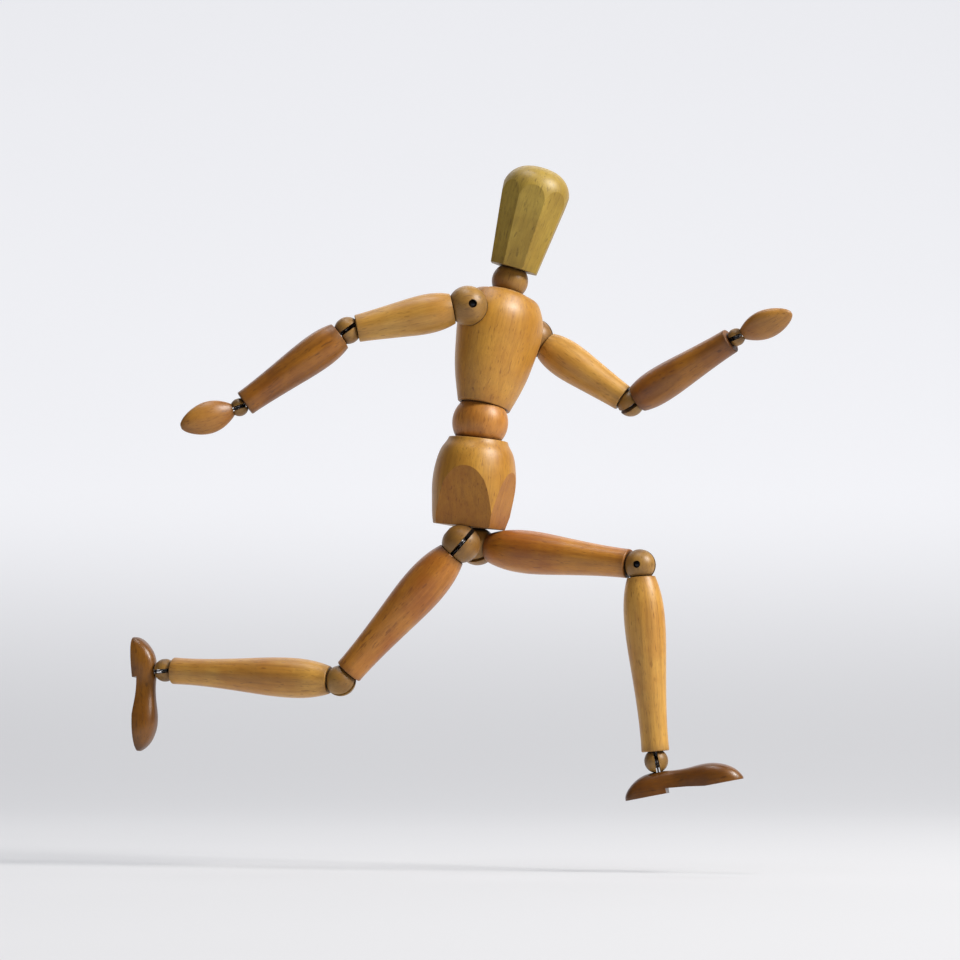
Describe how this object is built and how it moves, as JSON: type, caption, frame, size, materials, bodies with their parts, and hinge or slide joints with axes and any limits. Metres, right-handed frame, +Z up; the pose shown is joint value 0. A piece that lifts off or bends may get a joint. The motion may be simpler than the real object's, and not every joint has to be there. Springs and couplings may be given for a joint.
{
  "type": "artist mannequin",
  "caption": "Jointed wooden figure for drawing practice, with turned limbs on sawn ball joints held by hidden springs, posed running.",
  "frame": {"origin": "middle of the mouth of the support rod socket, in the back of the pelvis", "axes": "+X is the way the figure runs, +Y the figure's left, +Z up"},
  "size_m": [0.245, 0.0992, 0.2355],
  "materials": {
    "head_wood": "clear lacquer, satin",
    "trunk_wood": "clear lacquer, satin",
    "waist_wood": "clear lacquer, satin",
    "ball_wood": "clear lacquer, satin",
    "light_limb_wood": "clear lacquer, satin",
    "warm_limb_wood": "clear lacquer, satin",
    "dark_limb_wood": "clear lacquer, satin",
    "hand_wood": "clear lacquer, satin",
    "dark_steel": "blackened, satin",
    "spring_steel": "bright wire"
  },
  "bodies": {
    "pelvis": {"pelvis": "trunk_wood", "pelvis_anchor_pins": "dark_steel", "hip_springs": "spring_steel"},
    "waist ball": {"waist_ball": "waist_wood", "waist_spring": "spring_steel"},
    "chest": {"chest": "trunk_wood", "chest_anchor_pins": "dark_steel", "shoulder_spring": "spring_steel"},
    "neck ball": {"neck_ball": "ball_wood", "neck_spring": "spring_steel"},
    "head": {"head": "head_wood", "head_anchor_pin": "dark_steel"},
    "right shoulder ball": {"right_shoulder_ball": "ball_wood", "right_shoulder_pin": "dark_steel"},
    "right upper arm": {"right_upper_arm": "light_limb_wood", "right_upper_arm_spring": "spring_steel"},
    "right elbow ball": {"right_elbow_ball": "ball_wood", "right_elbow_pin": "dark_steel"},
    "right forearm": {"right_forearm": "dark_limb_wood", "right_forearm_spring": "spring_steel"},
    "right wrist ball": {"right_wrist_ball": "ball_wood", "right_wrist_pin": "dark_steel"},
    "right hand": {"right_hand": "hand_wood", "right_hand_hook": "spring_steel"},
    "right hip ball": {"right_hip_ball": "ball_wood", "right_hip_pin": "dark_steel"},
    "right thigh": {"right_thigh": "warm_limb_wood", "right_thigh_spring": "spring_steel"},
    "right knee ball": {"right_knee_ball": "ball_wood", "right_knee_pin": "dark_steel"},
    "right shin": {"right_shin": "light_limb_wood", "right_shin_spring": "spring_steel"},
    "right ankle ball": {"right_ankle_ball": "ball_wood", "right_ankle_pin": "dark_steel"},
    "right foot": {"right_foot": "dark_limb_wood", "right_foot_hook": "spring_steel"},
    "left shoulder ball": {"left_shoulder_ball": "ball_wood", "left_shoulder_pin": "dark_steel"},
    "left upper arm": {"left_upper_arm": "light_limb_wood", "left_upper_arm_spring": "spring_steel"},
    "left elbow ball": {"left_elbow_ball": "ball_wood", "left_elbow_pin": "dark_steel"},
    "left forearm": {"left_forearm": "dark_limb_wood", "left_forearm_spring": "spring_steel"},
    "left wrist ball": {"left_wrist_ball": "ball_wood", "left_wrist_pin": "dark_steel"},
    "left hand": {"left_hand": "hand_wood", "left_hand_hook": "spring_steel"},
    "left hip ball": {"left_hip_ball": "ball_wood", "left_hip_pin": "dark_steel"},
    "left thigh": {"left_thigh": "warm_limb_wood", "left_thigh_spring": "spring_steel"},
    "left knee ball": {"left_knee_ball": "ball_wood", "left_knee_pin": "dark_steel"},
    "left shin": {"left_shin": "light_limb_wood", "left_shin_spring": "spring_steel"},
    "left ankle ball": {"left_ankle_ball": "ball_wood", "left_ankle_pin": "dark_steel"},
    "left foot": {"left_foot": "dark_limb_wood", "left_foot_hook": "spring_steel"}
  },
  "joints": [
    {"name": "waist turn", "type": "hinge", "parent": "pelvis", "child": "waist ball", "pos_m": [0.01557, 0, 0.0304], "axis": [0.108, 0, 0.9942], "range_deg": [-35, 35], "deforming": ["waist_spring"]},
    {"name": "waist bend", "type": "hinge", "parent": "waist ball", "child": "chest", "pos_m": [0.01557, 0, 0.0304], "axis": [0.2663, 0.9468, -0.1808], "range_deg": [-20, 20], "deforming": ["waist_spring"]},
    {"name": "neck turn", "type": "hinge", "parent": "chest", "child": "neck ball", "pos_m": [0.02445, 0.00772, 0.08392], "axis": [0.1621, 0.1409, 0.9767], "range_deg": [-60, 60], "deforming": ["neck_spring"]},
    {"name": "neck nod", "type": "hinge", "parent": "neck ball", "child": "head", "pos_m": [0.02445, 0.00772, 0.08392], "axis": [0.7115, 0.6624, -0.2344], "range_deg": [-25, 25], "deforming": ["neck_spring"]},
    {"name": "right shoulder twist", "type": "hinge", "parent": "chest", "child": "right shoulder ball", "pos_m": [0.01634, -0.01421, 0.07215], "axis": [0.2663, 0.9468, -0.1808], "range_deg": [-45, 60], "deforming": ["shoulder_spring"]},
    {"name": "right shoulder bend", "type": "hinge", "parent": "right shoulder ball", "child": "right upper arm", "pos_m": [0.01634, -0.01421, 0.07215], "axis": [-0.4062, 0.9096, 0.0871], "range_deg": [-20, 65], "deforming": ["right_upper_arm_spring"]},
    {"name": "right elbow twist", "type": "hinge", "parent": "right upper arm", "child": "right elbow ball", "pos_m": [-0.02418, -0.03141, 0.06279], "axis": [-0.9004, -0.3822, -0.2079], "range_deg": [-50, 50], "deforming": ["right_upper_arm_spring"]},
    {"name": "right elbow bend", "type": "hinge", "parent": "right elbow ball", "child": "right forearm", "pos_m": [-0.02418, -0.03141, 0.06279], "axis": [-0.5154, -0.2845, 0.8084], "range_deg": [-55, 50], "deforming": ["right_forearm_spring"]},
    {"name": "right wrist twist", "type": "hinge", "parent": "right forearm", "child": "right wrist ball", "pos_m": [-0.05982, -0.04803, 0.03423], "axis": [-0.7332, -0.3419, -0.5878], "range_deg": [-60, 60], "deforming": ["right_forearm_spring"]},
    {"name": "right wrist bend", "type": "hinge", "parent": "right wrist ball", "child": "right hand", "pos_m": [-0.05982, -0.04803, 0.03423], "axis": [-0.2778, -0.2009, 0.9394], "range_deg": [-60, 60], "deforming": ["right_hand_hook"]},
    {"name": "right hip twist", "type": "hinge", "parent": "pelvis", "child": "right hip ball", "pos_m": [0.01124, -0.008, -0.015], "axis": [0.108, 0, 0.9942], "range_deg": [-12, 20], "deforming": ["hip_springs"]},
    {"name": "right hip bend", "type": "hinge", "parent": "right hip ball", "child": "right thigh", "pos_m": [0.01124, -0.008, -0.015], "axis": [-0.6752, -0.3348, 0.6573], "range_deg": [-20, 45], "deforming": ["right_thigh_spring"]},
    {"name": "right knee twist", "type": "hinge", "parent": "right thigh", "child": "right knee ball", "pos_m": [-0.03287, -0.01738, -0.06509], "axis": [-0.6545, -0.1391, -0.7431], "range_deg": [-30, 30], "deforming": ["right_thigh_spring"]},
    {"name": "right knee bend", "type": "hinge", "parent": "right knee ball", "child": "right shin", "pos_m": [-0.03287, -0.01738, -0.06509], "axis": [0.0868, -0.9312, 0.3541], "range_deg": [-24, 75], "deforming": ["right_shin_spring"]},
    {"name": "right ankle twist", "type": "hinge", "parent": "right shin", "child": "right ankle ball", "pos_m": [-0.10317, -0.02229, -0.06078], "axis": [-0.9957, -0.0696, 0.061], "range_deg": [-40, 40], "deforming": ["right_shin_spring"]},
    {"name": "right ankle bend", "type": "hinge", "parent": "right ankle ball", "child": "right foot", "pos_m": [-0.10317, -0.02229, -0.06078], "axis": [-0.0648, -0.1197, 0.9907], "range_deg": [-35, 35], "deforming": ["right_foot_hook"]},
    {"name": "left shoulder twist", "type": "hinge", "parent": "chest", "child": "left shoulder ball", "pos_m": [0.02741, 0.02517, 0.06463], "axis": [0.2663, 0.9468, -0.1808], "range_deg": [-45, 60], "deforming": ["shoulder_spring"]},
    {"name": "left shoulder bend", "type": "hinge", "parent": "left shoulder ball", "child": "left upper arm", "pos_m": [0.02741, 0.02517, 0.06463], "axis": [0.1063, -0.9908, -0.0839], "range_deg": [-30, 55], "deforming": ["left_upper_arm_spring"]},
    {"name": "left elbow twist", "type": "hinge", "parent": "left upper arm", "child": "left elbow ball", "pos_m": [0.06377, 0.03126, 0.03882], "axis": [0.8079, 0.1352, -0.5736], "range_deg": [-40, 40], "deforming": ["left_upper_arm_spring"]},
    {"name": "left elbow bend", "type": "hinge", "parent": "left elbow ball", "child": "left forearm", "pos_m": [0.06377, 0.03126, 0.03882], "axis": [0.4318, 0.5598, -0.7072], "range_deg": [-10, 70], "deforming": ["left_forearm_spring"]},
    {"name": "left wrist twist", "type": "hinge", "parent": "left forearm", "child": "left wrist ball", "pos_m": [0.10675, 0.02598, 0.06088], "axis": [0.8844, -0.1086, 0.454], "range_deg": [-60, 60], "deforming": ["left_forearm_spring"]},
    {"name": "left wrist bend", "type": "hinge", "parent": "left wrist ball", "child": "left hand", "pos_m": [0.10675, 0.02598, 0.06088], "axis": [0.3398, 0.2235, -0.9136], "range_deg": [-60, 60], "deforming": ["left_hand_hook"]},
    {"name": "left hip twist", "type": "hinge", "parent": "pelvis", "child": "left hip ball", "pos_m": [0.01124, 0.008, -0.015], "axis": [0.108, 0, 0.9942], "range_deg": [-6, 35], "deforming": ["hip_springs"]},
    {"name": "left hip bend", "type": "hinge", "parent": "left hip ball", "child": "left thigh", "pos_m": [0.01124, 0.008, -0.015], "axis": [0.0089, 0.7906, -0.6123], "range_deg": [0, 40], "deforming": ["left_thigh_spring"]},
    {"name": "left knee twist", "type": "hinge", "parent": "left thigh", "child": "left knee ball", "pos_m": [0.07764, 0.00044, -0.0238], "axis": [0.9851, -0.1122, -0.1305], "range_deg": [-30, 30], "deforming": ["left_thigh_spring"]},
    {"name": "left knee bend", "type": "hinge", "parent": "left knee ball", "child": "left shin", "pos_m": [0.07764, 0.00044, -0.0238], "axis": [0.0933, -0.9956, -0.0036], "range_deg": [-4, 75], "deforming": ["left_shin_spring"]},
    {"name": "left ankle twist", "type": "hinge", "parent": "left shin", "child": "left ankle ball", "pos_m": [0.08312, 0.00121, -0.09418], "axis": [0.0777, 0.0109, -0.9969], "range_deg": [-40, 40], "deforming": ["left_shin_spring"]},
    {"name": "left ankle bend", "type": "hinge", "parent": "left ankle ball", "child": "left foot", "pos_m": [0.08312, 0.00121, -0.09418], "axis": [-0.9168, -0.3528, -0.1869], "range_deg": [-35, 35], "deforming": ["left_foot_hook"]}
  ]
}
